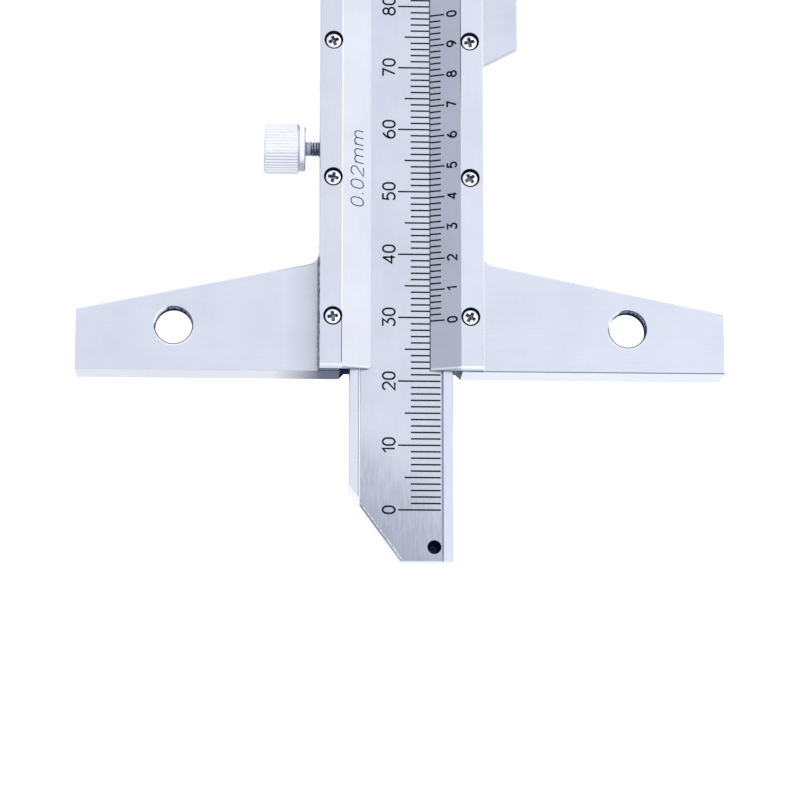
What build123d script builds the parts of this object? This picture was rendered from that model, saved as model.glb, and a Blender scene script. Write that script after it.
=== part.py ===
"""Vernier depth gauge for depths up to 150 mm, lying on its back.

X runs along the base, Y runs up the beam away from the measuring faces, and Z comes out of the
graduated front. The origin is on the back, on the beam's centre line, midway between the two base
holes. Places are worked out from the measuring faces, and moved to the origin at the end.
All sizes are in millimetres. Everything is modelled at the reading named READING.
"""
import os
from math import cos, pi, radians, sin, tan

from build123d import *

os.makedirs("parts", exist_ok=True)

# Measuring range and the reading at which the gauge is modelled.
RANGE = 150.0
READING = 29.4
OVERTRAVEL = 0.5

# Base and slider, milled as one piece.
BASE_LENGTH = 100.0
FLOOR_THICKNESS = 2.82
SIDE_WALL = 4.66
ARM_END_HEIGHT = 9.55
ARM_ROOT_HEIGHT = 17.2
ARM_ROOT_RADIUS = 2.0
COLUMN_HEIGHT = 61.0
EDGE_BREAK = 0.3
RELIEF_SIDE = 1.5
RELIEF_DEPTH = 0.8
CHANNEL_GROOVE = 0.4

# Thumb rest on the right of the slider, at the top.
REST_REACH = 5.5
REST_HEIGHT = 12.3
REST_SLOPE = 28.0
REST_CORNER_RADIUS = 0.6

# Two screw holes in the base, for an extension base.
BASE_HOLE_INSET = 15.0
BASE_HOLE_HEIGHT = 7.0
BASE_HOLE_RADIUS = 2.85
BASE_HOLE_CHAMFER = 0.2
BASE_HOLE_SINK_RADIUS = 4.0
BASE_HOLE_SINK_DEPTH = 3.7

# Beam.
BEAM_WIDTH = 16.0
BEAM_THICKNESS = 3.5
BEAM_END_CHAMFER = 0.5
BEAM_EDGE_BREAK = 0.15
STRIP_WIDTH = 1.5
STRIP_RAISE = 0.3
TIP_WIDTH = 8.0
TIP_SLANT_HEIGHT = 10.9
TIP_BEVEL_RUN = 0.6
TIP_BEVEL_DEPTH = 0.42
PIN_RADIUS = 1.05
PIN_FROM_STRIP = 0.1
PIN_HOLE_DEPTH = 2.2
PIN_PROUD = 1.5
PIN_HOLE_FROM_TIP = 2.3
PIN_MARGIN = 4.5
DRILL_POINT_ANGLE = 118.0

# Cover plates: the left one holds the beam in, the right one carries the vernier.
PLATE_THICKNESS = 2.0
PLATE_FLAT_WIDTH = 3.5
PLATE_EDGE_BREAK = 0.15
LEFT_LIP_WIDTH = 1.35
VERNIER_LIP_WIDTH = 1.65
LEFT_EDGE_THICKNESS = 0.28
VERNIER_EDGE_THICKNESS = 0.15
LEFT_PLATE_FOOT = 0.4
VERNIER_PLATE_FOOT = 0.2
PLATE_FOOT_CHAMFER = 0.35
LEFT_PLATE_CORNER = 0.6
VERNIER_PLATE_CORNER = 0.12

# Plate screws: cheese heads sunk in counterbores.
SCREW_INSET = 2.1
SCREW_FIRST = 8.3
SCREW_LAST_MARGIN = 8.7
SCREWS_PER_PLATE = 3
SCREW_HEAD_RADIUS = 1.18
SCREW_HEAD_HEIGHT = 0.8
SCREW_SHANK_RADIUS = 0.7
SCREW_LENGTH = 4.2
COUNTERBORE_SIDE = 0.27
SCREW_SUNK = 0.3

# Gib: a strip of spring bronze between the left wall and the beam's left edge.
GIB_THICKNESS = 0.8
GIB_MARGIN = 7.5
GIB_POCKET_SPARE = 0.1
GIB_SCREW_RADIUS = 1.0
GIB_SCREW_SUNK = 0.3
GIB_SCREW_POINT = 0.35

# Lock screw: knurled knob on a threaded stud, bearing on the gib through a brass pad.
LOCK_ABOVE_MIDDLE = 5.15
LOCK_PITCH = 0.45
LOCK_TURNS = 2.0
KNOB_RADIUS = 4.0
KNOB_LENGTH = 5.6
KNOB_CHAMFER = 0.4
KNURL_TEETH = 48
KNURL_DEPTH = 0.17
COLLAR_RADIUS = 3.52
COLLAR_LENGTH = 0.9
COLLAR_CHAMFER = 0.2
STUD_RADIUS = 1.25
STUD_SHOWING = 2.2
STUD_IN_KNOB = 4.4
STUD_POINT = 0.3
PAD_LENGTH = 1.1

# Clearances.
SLIDE_GAP = 0.04
THREAD_GAP = 0.05
FACE_GAP = 0.02
SCREW_HOLE_GAP = 0.05
LIP_GAP = 0.06
LIP_SIDE_GAP = 0.15

# Places worked out from the sizes above.
half_base = BASE_LENGTH / 2
half_beam = BEAM_WIDTH / 2
half_column = half_beam + SLIDE_GAP + SIDE_WALL
front = FLOOR_THICKNESS + BEAM_THICKNESS + 2 * SLIDE_GAP
plate_top = front + PLATE_THICKNESS
screw_seat = plate_top - SCREW_HEAD_HEIGHT - SCREW_SUNK
strip_face = front - SLIDE_GAP
scale_face = strip_face - STRIP_RAISE
beam_back = strip_face - BEAM_THICKNESS
channel_floor = beam_back - SLIDE_GAP
beam_middle = (strip_face + beam_back) / 2
beam_tip = -READING
beam_length = RANGE + OVERTRAVEL + COLUMN_HEIGHT + 2 * PIN_RADIUS + PIN_MARGIN
beam_top = beam_tip + beam_length
stop_pin_from_tip = beam_length - PIN_MARGIN - PIN_RADIUS
strip_foot = half_beam - STRIP_WIDTH - STRIP_RAISE
pin_x = strip_foot - PIN_FROM_STRIP - PIN_RADIUS
gib_face = -half_beam - SLIDE_GAP
gib_back = gib_face - GIB_THICKNESS
pocket_wall = gib_back - GIB_POCKET_SPARE
gib_length = COLUMN_HEIGHT - 2 * GIB_MARGIN
gib_middle = COLUMN_HEIGHT / 2
lock_y = gib_middle + LOCK_ABOVE_MIDDLE
knob_inner_end = -half_column - STUD_SHOWING
left_plate_sizes = (LEFT_LIP_WIDTH, LEFT_EDGE_THICKNESS, LEFT_PLATE_FOOT, LEFT_PLATE_CORNER)
vernier_plate_sizes = (VERNIER_LIP_WIDTH, VERNIER_EDGE_THICKNESS, VERNIER_PLATE_FOOT, VERNIER_PLATE_CORNER)


def box(x, y, z):
    """A block between two corners, each axis given as (low, high)."""
    size = [span[1] - span[0] for span in (x, y, z)]
    middle = [(span[0] + span[1]) / 2 for span in (x, y, z)]
    return Pos(*middle) * Box(*size)


def rod_x(x_low, x_high, radius, y, z):
    """A round rod along X."""
    return Pos((x_low + x_high) / 2, y, z) * Rot(0, 90, 0) * Cylinder(radius, x_high - x_low)


def rod_z(z_low, z_high, radius, x, y):
    """A round rod along Z."""
    return Pos(x, y, (z_low + z_high) / 2) * Cylinder(radius, z_high - z_low)


def turned_z(points, x, y):
    """A turned piece about a line along Z, from its half outline as (radius, height) points."""
    outline = make_face(Polyline(*[(radius, 0, height) for radius, height in points], close=True))
    return Pos(x, y, 0) * revolve(outline, Axis.Z)


def turned_x(points, y, z):
    """A turned piece about a line along X, from its half outline as (place along X, radius) points."""
    outline = make_face(Polyline(*[(place, radius, 0) for place, radius in points], close=True))
    return Pos(0, y, z) * revolve(outline, Axis.X)


def along_beam(outline, y_low, y_high):
    """A bar along Y from its outline as (x, z) points."""
    face = make_face(Polyline(*[(x, y_low, z) for x, z in outline], close=True))
    return extrude(face, y_high - y_low, dir=(0, 1, 0))


def plate_screw_places(side):
    """Where the screws of one cover plate stand: side is -1 on the left and 1 on the right."""
    x = side * (half_column - SCREW_INSET)
    pitch = (COLUMN_HEIGHT - SCREW_FIRST - SCREW_LAST_MARGIN) / (SCREWS_PER_PLATE - 1)
    return [(x, SCREW_FIRST + step * pitch) for step in range(SCREWS_PER_PLATE)]


def gib_screw_heights():
    return [gib_middle + side * gib_length / 3 for side in (-1, 1)]


def drilled(z_mouth, depth, radius, x, y):
    """What a drill takes out from the front: a straight hole with a conical end."""
    point = radius / tan(radians(DRILL_POINT_ANGLE / 2))
    floor = z_mouth - depth
    return turned_z([(0, floor - point), (radius, floor), (radius, z_mouth), (0, z_mouth)], x, y)


def body_outline():
    """The front view of the base and slider: two tapered arms, the column and the thumb rest."""
    rest_x = half_column + REST_REACH
    rest_low = COLUMN_HEIGHT - REST_HEIGHT
    rest_rise = REST_REACH * tan(radians(REST_SLOPE))
    points = [
        (-half_base, 0),
        (half_base, 0),
        (half_base, ARM_END_HEIGHT),
        (half_column, ARM_ROOT_HEIGHT),
        (half_column, rest_low),
        (rest_x, rest_low + rest_rise),
        (rest_x, COLUMN_HEIGHT),
        (-half_column, COLUMN_HEIGHT),
        (-half_column, ARM_ROOT_HEIGHT),
        (-half_base, ARM_END_HEIGHT),
    ]
    face = make_face(Polyline(*points, close=True))
    roots = [v for v in face.vertices() if abs(v.Y - ARM_ROOT_HEIGHT) < 0.01]
    face = fillet(roots, ARM_ROOT_RADIUS)
    rest_corners = [v for v in face.vertices() if abs(v.X - rest_x) < 0.01]
    return fillet(rest_corners, REST_CORNER_RADIUS)


def base_hole(x):
    """One screw hole: chamfered in front, counterbored from the back."""
    mouth = BASE_HOLE_RADIUS + BASE_HOLE_CHAMFER
    return turned_z(
        [
            (0, 0),
            (BASE_HOLE_SINK_RADIUS, 0),
            (BASE_HOLE_SINK_RADIUS, BASE_HOLE_SINK_DEPTH),
            (BASE_HOLE_RADIUS, BASE_HOLE_SINK_DEPTH),
            (BASE_HOLE_RADIUS, front - BASE_HOLE_CHAMFER),
            (mouth, front),
            (0, front),
        ],
        x,
        BASE_HOLE_HEIGHT,
    )


def slider_body():
    body = extrude(body_outline(), front)
    clear_of_plates = half_column + ARM_ROOT_RADIUS / 2
    loose_edges = [
        edge
        for edge in body.edges().filter_by(lambda e: abs(e.bounding_box().size.Z) < 0.01)
        if abs(edge.center().X) > clear_of_plates
    ]
    body = chamfer(loose_edges, EDGE_BREAK)
    inner_half = half_beam + SLIDE_GAP
    body -= box((-inner_half, inner_half), (0, COLUMN_HEIGHT), (channel_floor, front))
    groove_bottom = channel_floor - CHANNEL_GROOVE
    for x in (-inner_half, inner_half - CHANNEL_GROOVE):
        body -= box((x, x + CHANNEL_GROOVE), (0, COLUMN_HEIGHT), (groove_bottom, channel_floor))
    half_relief = half_beam + RELIEF_SIDE
    relief = [
        (-half_relief, 0, 0),
        (half_relief, 0, 0),
        (half_relief - RELIEF_DEPTH, RELIEF_DEPTH, 0),
        (RELIEF_DEPTH - half_relief, RELIEF_DEPTH, 0),
    ]
    body -= extrude(make_face(Polyline(*relief, close=True)), front)
    pocket_half = gib_length / 2 + GIB_POCKET_SPARE
    pocket_span = (gib_middle - pocket_half, gib_middle + pocket_half)
    body -= box((pocket_wall, -inner_half), pocket_span, (channel_floor, front))
    bore = STUD_RADIUS + THREAD_GAP
    body -= rod_x(-half_column, pocket_wall, bore, lock_y, beam_middle)
    for height in gib_screw_heights():
        body -= rod_x(-half_column, pocket_wall, GIB_SCREW_RADIUS, height, beam_middle)
    shank_end = screw_seat - SCREW_LENGTH
    for x, y in plate_screw_places(-1) + plate_screw_places(1):
        body -= rod_z(shank_end, front, SCREW_SHANK_RADIUS, x, y)
    for side in (-1, 1):
        body -= base_hole(side * (half_base - BASE_HOLE_INSET))
    return body


def beam():
    """A flat bar with a sunk scale face between two raised strips, and a slanted tip."""
    end = half_beam
    strip_edge = half_beam - STRIP_WIDTH
    section = [
        (-end, beam_back),
        (end, beam_back),
        (end, strip_face),
        (strip_edge, strip_face),
        (strip_foot, scale_face),
        (-strip_foot, scale_face),
        (-strip_edge, strip_face),
        (-end, strip_face),
    ]
    bar = along_beam(section, beam_tip, beam_top)
    corners = [e for e in bar.edges().filter_by(Axis.Y) if abs(abs(e.center().X) - end) < 0.01]
    bar = chamfer(corners, BEAM_EDGE_BREAK)
    top_corners = [e for e in bar.edges().filter_by(Axis.Z) if e.center().Y > beam_top - 0.01]
    bar = chamfer(top_corners, BEAM_END_CHAMFER)
    slant_x = end - TIP_WIDTH
    slant_y = beam_tip + TIP_SLANT_HEIGHT
    cut = [(-end, beam_tip, 0), (slant_x, beam_tip, 0), (-end, slant_y, 0)]
    bar -= extrude(make_face(Polyline(*cut, close=True)), front)
    bar -= tip_bevel(slant_x, slant_y)
    for from_tip in (PIN_HOLE_FROM_TIP, stop_pin_from_tip):
        bar -= drilled(scale_face, PIN_HOLE_DEPTH, PIN_RADIUS, pin_x, beam_tip + from_tip)
    return bar


def tip_bevel(slant_x, slant_y):
    """The wedge ground off the front edge of the slanted tip."""
    start = Vector(slant_x, beam_tip, 0)
    finish = Vector(-half_beam, slant_y, 0)
    along = (finish - start).normalized()
    inward = Vector(-along.Y, along.X, 0) * -1
    low = start - along * TIP_SLANT_HEIGHT
    rise = Vector(0, 0, 1)
    wedge = [
        low + rise * (strip_face - TIP_BEVEL_DEPTH),
        low + rise * strip_face + inward * TIP_BEVEL_RUN,
        low + rise * front + inward * TIP_BEVEL_RUN,
        low + rise * front - inward * TIP_BEVEL_RUN,
        low + rise * (strip_face - TIP_BEVEL_DEPTH) - inward * TIP_BEVEL_RUN,
    ]
    length = (finish - start).length + 2 * TIP_SLANT_HEIGHT
    return extrude(make_face(Polyline(*wedge, close=True)), length, dir=along)


def stop_pin():
    """Pressed into the beam near its top, so that the slider can't run off."""
    y = beam_tip + stop_pin_from_tip
    pin = rod_z(scale_face - PIN_HOLE_DEPTH, scale_face + PIN_PROUD, PIN_RADIUS, pin_x, y)
    return chamfer(pin.edges().sort_by(Axis.Z)[-1], BEAM_EDGE_BREAK)


def cover_plate(side, lip_width, edge_thickness, foot, corner):
    """A plate with a flat for its screws and a bevel down to a thin edge over the scale.

    Under the bevel a lip goes down between the beam's strips, to just above the scale face.
    """
    outer = half_column
    ridge = half_column - PLATE_FLAT_WIDTH
    lip_outer = strip_foot - LIP_SIDE_GAP
    lip_bottom = scale_face + LIP_GAP
    inner = lip_outer - lip_width
    section = [
        (outer, front),
        (outer, plate_top - PLATE_EDGE_BREAK),
        (outer - PLATE_EDGE_BREAK, plate_top),
        (ridge, plate_top),
        (inner, lip_bottom + edge_thickness),
        (inner, lip_bottom),
        (lip_outer, lip_bottom),
        (lip_outer, front),
    ]
    plate = along_beam([(side * x, z) for x, z in section], foot, COLUMN_HEIGHT)
    foot_edges = plate.edges().filter_by(lambda e: abs(e.center().Y - foot) < 0.01)
    plate = chamfer(foot_edges.filter_by(Axis.X).sort_by(Axis.Z)[-1], PLATE_FOOT_CHAMFER)
    thin_ends = plate.edges().filter_by(Axis.Z).sort_by(lambda e: abs(e.center().X))[:2]
    plate = fillet(min(thin_ends, key=lambda e: e.center().Y), corner)
    hole = SCREW_SHANK_RADIUS + SCREW_HOLE_GAP
    counterbore = SCREW_HEAD_RADIUS + COUNTERBORE_SIDE
    for x, y in plate_screw_places(side):
        plate -= rod_z(front, plate_top, hole, x, y)
        plate -= rod_z(screw_seat, plate_top, counterbore, x, y)
    return plate


def plate_screws(side):
    """Three short cheese-head screws, their heads below the plate's face."""
    point = screw_seat - SCREW_LENGTH
    crown = screw_seat + SCREW_HEAD_HEIGHT
    screws = []
    for x, y in plate_screw_places(side):
        screws.append(
            turned_z(
                [
                    (0, point),
                    (SCREW_SHANK_RADIUS, point),
                    (SCREW_SHANK_RADIUS, screw_seat),
                    (SCREW_HEAD_RADIUS, screw_seat),
                    (SCREW_HEAD_RADIUS, crown - BEAM_EDGE_BREAK),
                    (SCREW_HEAD_RADIUS - BEAM_EDGE_BREAK, crown),
                    (0, crown),
                ],
                x,
                y,
            )
        )
    return Compound(children=screws)


def gib_strip():
    half = gib_length / 2
    strip = box((gib_back, gib_face), (gib_middle - half, gib_middle + half), (beam_back, strip_face))
    ends = strip.edges().filter_by(Axis.Z).filter_by(lambda e: e.center().X > gib_back + 0.01)
    return chamfer(ends, GIB_THICKNESS / 4)


def gib_screws():
    """Two headless screws in the left wall, their points against the gib's back."""
    screws = []
    for height in gib_screw_heights():
        screw = turned_x(
            [
                (-half_column + GIB_SCREW_SUNK, 0),
                (-half_column + GIB_SCREW_SUNK, GIB_SCREW_RADIUS),
                (gib_back - GIB_SCREW_POINT, GIB_SCREW_RADIUS),
                (gib_back, GIB_SCREW_RADIUS - GIB_SCREW_POINT),
                (gib_back, 0),
            ],
            height,
            beam_middle,
        )
        screws.append(screw)
    return Compound(children=screws)


def clamp_pad():
    end = gib_back - FACE_GAP
    return rod_x(end - PAD_LENGTH, end, STUD_RADIUS, lock_y, beam_middle)


def lock_stud():
    end = gib_back - FACE_GAP - PAD_LENGTH - FACE_GAP
    return turned_x(
        [
            (knob_inner_end - STUD_IN_KNOB, 0),
            (knob_inner_end - STUD_IN_KNOB, STUD_RADIUS),
            (end - STUD_POINT, STUD_RADIUS),
            (end, STUD_RADIUS - STUD_POINT),
            (end, 0),
        ],
        lock_y,
        beam_middle,
    )


def knurled_ring(x_low, x_high):
    """A bar with V grooves cut along it, all round."""
    points = []
    for step in range(2 * KNURL_TEETH):
        radius = KNOB_RADIUS - KNURL_DEPTH * (step % 2)
        angle = pi * step / KNURL_TEETH
        points.append((x_low, lock_y + radius * cos(angle), beam_middle + radius * sin(angle)))
    return extrude(make_face(Polyline(*points, close=True)), x_high - x_low, dir=(1, 0, 0))


def lock_knob():
    inner = knob_inner_end
    shoulder = inner - COLLAR_LENGTH
    outer = shoulder - KNOB_LENGTH
    barrel_blank = turned_x(
        [
            (outer, 0),
            (outer, KNOB_RADIUS - KNOB_CHAMFER),
            (outer + KNOB_CHAMFER, KNOB_RADIUS),
            (shoulder - KNOB_CHAMFER, KNOB_RADIUS),
            (shoulder, KNOB_RADIUS - KNOB_CHAMFER),
            (shoulder, 0),
        ],
        lock_y,
        beam_middle,
    )
    barrel = barrel_blank & knurled_ring(outer, shoulder)
    collar = turned_x(
        [
            (shoulder, 0),
            (shoulder, COLLAR_RADIUS),
            (inner - COLLAR_CHAMFER, COLLAR_RADIUS),
            (inner, COLLAR_RADIUS - COLLAR_CHAMFER),
            (inner, 0),
        ],
        lock_y,
        beam_middle,
    )
    knob = barrel + collar
    return knob - rod_x(inner - STUD_IN_KNOB, inner, STUD_RADIUS, lock_y, beam_middle)


pieces = {
    "slider_body": slider_body(),
    "beam": beam(),
    "beam_stop_pin": stop_pin(),
    "left_cover_plate": cover_plate(-1, *left_plate_sizes),
    "vernier_plate": cover_plate(1, *vernier_plate_sizes),
    "left_plate_screws": plate_screws(-1),
    "vernier_plate_screws": plate_screws(1),
    "gib_strip": gib_strip(),
    "gib_screws": gib_screws(),
    "clamp_pad": clamp_pad(),
    "lock_stud": lock_stud(),
    "lock_knob": lock_knob(),
}
to_origin = Pos(0, -BASE_HOLE_HEIGHT, 0)
for name, shape in pieces.items():
    moved = [to_origin * solid for solid in shape.solids()]
    export_step(Compound(children=moved), f"parts/{name}.step")
print(f"lock travel {LOCK_TURNS * LOCK_PITCH:.2f} mm over {LOCK_TURNS:.0f} turns")
print(f"beam slides {READING:.1f} mm up and {RANGE - READING:.1f} mm down")
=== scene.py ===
"""Looks for the vernier depth gauge: finishes, scales, screws and thread, studio and camera.

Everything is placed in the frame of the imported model: X along the base, Y up the beam, Z out of
the graduated front. Sizes are written in millimetres and turned into metres when a mesh is made.
"""
import math

import bmesh
import bpy
from mathutils import Matrix, Vector


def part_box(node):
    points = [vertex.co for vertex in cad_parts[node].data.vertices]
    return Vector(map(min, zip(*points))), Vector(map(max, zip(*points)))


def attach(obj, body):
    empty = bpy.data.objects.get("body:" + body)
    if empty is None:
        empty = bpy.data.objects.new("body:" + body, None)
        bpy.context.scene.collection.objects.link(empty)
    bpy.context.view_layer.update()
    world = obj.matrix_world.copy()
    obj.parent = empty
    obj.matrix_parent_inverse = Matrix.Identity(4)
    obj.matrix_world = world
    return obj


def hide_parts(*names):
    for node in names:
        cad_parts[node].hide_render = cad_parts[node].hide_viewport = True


MM = 0.001

# Camera, fitted to the photograph: where it stands, what its middle looks at, its lens, and the
# nearest that it sees.
CAMERA_PLACE = (-21.8, -102.0, 477.8)
CAMERA_TARGET = (-0.2, -11.43, 6.4)
CAMERA_LENS = 141.1
SENSOR_WIDTH = 36.0
CAMERA_CLIP = 10.0

# Studio: how bright the room is on the left, overhead and on the right, and along its foot on the
# left and on the right. Places in the room are parts of a unit vector: where the left and the
# right have their full tone, where the foot fades out upwards, and between which ends it changes.
ROOM_LEFT = 0.85
ROOM_TOP = 1.06
ROOM_RIGHT = 1.3
ROOM_LEFT_END = -0.7
ROOM_RIGHT_END = 0.35
ROOM_FOOT_LEFT = 1.0
ROOM_FOOT_RIGHT = 1.4
ROOM_FOOT_HEIGHTS = (0.25, 0.55)
ROOM_FOOT_ENDS = (-0.8, 0.8)

# A shade low down at both sides of the room: how much light it takes away, how far out it comes
# in, and the heights where it comes in above the table and goes out again.
SIDE_SHADE = 0.45
SIDE_SHADE_OUT = (0.3, 0.55)
SIDE_SHADE_FOOT = (0.06, 0.14)
SIDE_SHADE_HEAD = (0.3, 0.42)

# Milk glass table that light comes up through, just below the gauge's back.
TABLE_GLOW = 1.04
TABLE_TONE = 0.15
TABLE_ROUGHNESS = 0.9
TABLE_SIZE = 3000.0
TABLE_DROP = 0.02

# Main scale on the beam.
MAIN_ZERO_FROM_TIP = 8.0
MAIN_LINES = 200
MAIN_RIGHT_END = 6.04
MAIN_SHORT_START = 1.47
MAIN_MIDDLE_START = 0.53
MAIN_LONG_START = -0.48
MAIN_NUMBER_FOOT = -0.98
MAIN_NUMBER_HEIGHT = 1.86

# Vernier scale on the right plate: fifty divisions over forty-nine millimetres.
VERNIER_ZERO_FROM_FACE = 8.0
VERNIER_LINES = 50
VERNIER_DIVISION = 0.98
VERNIER_SHORT_END = 6.12
VERNIER_LONG_END = 6.67
VERNIER_NUMBER_FOOT = 8.47
VERNIER_NUMBER_HEIGHT = 1.36

# Graduation value on the left plate.
VALUE_TEXT = "0.02mm"
VALUE_START = 18.85
VALUE_FOOT = -5.9
VALUE_HEIGHT = 1.95
VALUE_SLANT = 0.11
VALUE_STRETCH = 1.17
VALUE_GAP = 0.35

# Ink lines: their widths, and how far they stand over and go under the face. Points no further
# apart than SAME_PLACE are one point, and a smaller MITRE_LIMIT lets sharp corners reach further.
LINE_WIDTH = 0.25
NUMBER_STROKE = 0.29
VERNIER_STROKE = 0.29
VALUE_STROKE = 0.17
INK_PROUD = 0.012
INK_SUNK = 0.02
SAME_PLACE = 1e-6
MITRE_LIMIT = 0.55

# Shapes that the scales share with the plates and the beam.
STRIP_RAISE = 0.3
PLATE_FLAT_WIDTH = 3.5
LEFT_EDGE_THICKNESS = 0.28
VERNIER_EDGE_THICKNESS = 0.15
BASE_HOLE_X = 35.0
BASE_HOLE_RADIUS = 2.85
STRIP_WIDTH = 1.5
COLLAR_LENGTH = 0.9
KNURL_DEPTH = 0.17

# Plate screws.
SCREWS_PER_PLATE = 3
HEAD_RADIUS = 1.18
HEAD_RIM_RADIUS = 1.13
HEAD_HEIGHT = 0.8
HEAD_EDGE = 0.2
HEAD_CROWN = 0.17
SHANK_RADIUS = 0.7
CROWN_STEPS = 5
SCREW_SIDES = 40
RECESS_REACH = 0.98
RECESS_HALF_WIDTH = 0.3
RECESS_DEPTH = 0.55
RECESS_FLOOR_REACH = 0.5
RECESS_FLOOR_HALF_WIDTH = 0.16
LEFT_SCREW_TURNS = (8, -12, 20)
RIGHT_SCREW_TURNS = (-30, 35, 12)

# Lock stud.
THREAD_PITCH = 0.45
THREAD_DEPTH = 0.28
NECK_LENGTH = 0.85
NECK_RADIUS = 1.1
STUD_IN_KNOB = 4.4
STUD_POINT = 0.3
THREAD_STEPS = 8
THREAD_SIDES = 40

# Gib screws.
GIB_SCREW_CHAMFER = 0.15
GIB_SCREW_POINT = 0.35
GIB_SCREW_SIDES = 32
GIB_SCREW_TURNS = (25, -40)
SLOT_WIDTH = 0.35
SLOT_DEPTH = 0.5
SLOT_REACH = 1.2

# How far a cutter starts outside the face that it cuts.
CUTTER_CLEAR = 0.1

# Marks that every steel has: how bright, rough and high its fine lines are, how much larger and
# how much duller the streaks in line with them are, and how large and dull its clouds are.
LINE_SHINE = 0.015
LINE_ROUGHNESS = (-0.05, 0.06)
LINE_HEIGHT = 0.004
STREAK_SPREAD = 6.0
STREAK_DULLING = 0.012
CLOUD_SIZE = 8.0
CLOUD_DULLING = 0.07

# Parts of a noise's range over which one look goes over into another.
WIDE_BAND = (0.25, 0.75)
MIDDLE_BAND = (0.3, 0.7)
NARROW_BAND = (0.35, 0.65)
CRISP_BAND = (0.4, 0.6)
TARNISH_BAND = (0.4, 0.75)

# Directions that a look can change along.
ALONG_X = (1, 0, 0)
ALONG_Y = (0, 1, 0)
ALONG_Z = (0, 0, 1)

# How deep the finish of one face reaches into its piece, and how far down a look that is kept to
# the front goes.
FACE_SKIN = 0.03
FRONT_DEPTH = (1.0, 0.9)

# Finish of the base: how far its relief goes beside the beam and up, where the painted shadow on
# the left measuring face comes in along X and the thumb rest along Y, how high above the measuring
# faces a look can be the arms' own, and how far out from the left plate the painted shade in the
# corner comes in.
RELIEF_BESIDE_BEAM = 1.55
RELIEF_HEIGHT = 0.85
LEFT_FACE_SHADOW = (-19.8, -12.3)
THUMB_REST = (30, 31)
ARM_HEIGHT = 20
CORNER_OUTSIDE = 5.2
CORNER_INSIDE = 2.2
BASE_EDGE_BREAK = 0.3

# Painted shade and highlights of the base holes: how far the shaded wall, the dark edge, the
# upper crescent and the lower rim, both painted highlights, reach outside the hole's radius, the
# crescent's way from the hole's middle and where it comes in along it, and the depths where the
# painted shade on the wall turns dark.
HOLE_RINGS = (0.02, 0.17, 0.25, 0.34)
CRESCENT_WAY = (-0.8, 0.6, 0)
CRESCENT_REACH = (2.35, 2.65)
WALL_DARKENS = (0.7, 1.2)

# Finish of the beam: its drilled hole, the tip's slant, the slant's bevel, and the way and the
# distance over which painted shade darkens the scale towards the tip.
TIP_HOLE_FROM_TIP = 2.3
TIP_SLANT = (8.0, 10.9)
TIP_BEVEL = 0.6
TIP_SHADE_WAY = (0.62, 0.78, 0)
TIP_SHADE_LENGTH = 13.2

# Finish of the plates: their counterbores, painted dark as shade, and the part of each ridge that
# has a painted dark reflection instead of a painted highlight, as two places along Y and how far
# it fades out.
COUNTERBORE_RADIUS = 1.47
LEFT_RIDGE_SHADE = (-6.1, 2.1, 0.3)
RIGHT_RIDGE_SHADE = (36.0, 60.0, 4.0)

SMOOTH_ANGLE = 35.0


def mm(*values):
    """A place or size in millimetres, as a vector in metres."""
    return Vector(values) * MM


def box_mm(node):
    """The two corners of a CAD node, in millimetres."""
    low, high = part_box(node)
    return Vector(low) / MM, Vector(high) / MM


# Node trees


class Shader:
    """A node tree being put together. An input given as a socket is linked, any other is set."""

    def __init__(self, tree):
        self.tree = tree
        tree.nodes.clear()

    def add(self, kind, inputs=None, **settings):
        node = self.tree.nodes.new(kind)
        for name, value in settings.items():
            setattr(node, name, value)
        for name, value in (inputs or {}).items():
            self.plug(value, node.inputs[name])
        return node

    def plug(self, value, socket):
        if isinstance(value, bpy.types.NodeSocket):
            self.tree.links.new(value, socket)
        else:
            socket.default_value = value

    def math(self, operation, first, second=0.0):
        node = self.add("ShaderNodeMath", {0: first, 1: second}, operation=operation)
        return node.outputs[0]

    def spread(self, value, low, high, from_low=0.0, from_high=1.0):
        """A value moved from one range to another, and kept inside it."""
        node = self.add(
            "ShaderNodeMapRange",
            {"Value": value, "From Min": from_low, "From Max": from_high, "To Min": low, "To Max": high},
        )
        return node.outputs["Result"]

    def blend(self, share, first, second):
        """One colour going over into another."""
        node = self.add(
            "ShaderNodeMix", {0: share, 6: first, 7: second}, data_type="RGBA", clamp_factor=True
        )
        return node.outputs[2]

    def scaled(self, colour, factor):
        node = self.add("ShaderNodeHueSaturation", {"Color": colour, "Value": factor})
        return node.outputs["Color"]

    def bump(self, height, strength):
        """The direction of a face whose fine lines stand up by a share of their height."""
        inputs = {"Strength": strength, "Distance": LINE_HEIGHT * MM, "Height": height}
        return self.add("ShaderNodeBump", inputs).outputs["Normal"]

    def without(self, value, share):
        """A value with a share of it taken away."""
        return self.math("MULTIPLY", value, self.math("SUBTRACT", 1.0, share))

    def surface(self, inputs, kind="ShaderNodeBsdfPrincipled", output="ShaderNodeOutputMaterial"):
        """The last two nodes of a tree: what gives the light back, and the output."""
        last = self.add(kind, inputs)
        self.plug(last.outputs[0], self.add(output).inputs["Surface"])

    def place(self):
        node = self.add("ShaderNodeTexCoord")
        return node.outputs["Object"]

    def noise(self, feature_sizes, detail=2.0, roughness=0.5):
        """Noise whose features have these sizes in millimetres along X, Y and Z."""
        scale = [1 / (size * MM) for size in feature_sizes]
        stretched = self.add(
            "ShaderNodeVectorMath", {0: self.place(), 1: scale}, operation="MULTIPLY"
        ).outputs[0]
        node = self.add(
            "ShaderNodeTexNoise",
            {"Vector": stretched, "Scale": 1.0, "Detail": detail, "Roughness": roughness},
        )
        return node.outputs["Fac"]


def new_material(name):
    """A material, and the shader to put its node tree together with."""
    material = bpy.data.materials.new(name)
    material.use_nodes = True
    return material, Shader(material.node_tree)


def grey(level, cast=1.0):
    """A grey with a blue cast. A cast of 1 is what ground steel has under the studio light."""
    return (level * (1 - 0.06 * cast), level, level * (1 + 0.165 * cast), 1.0)


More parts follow.
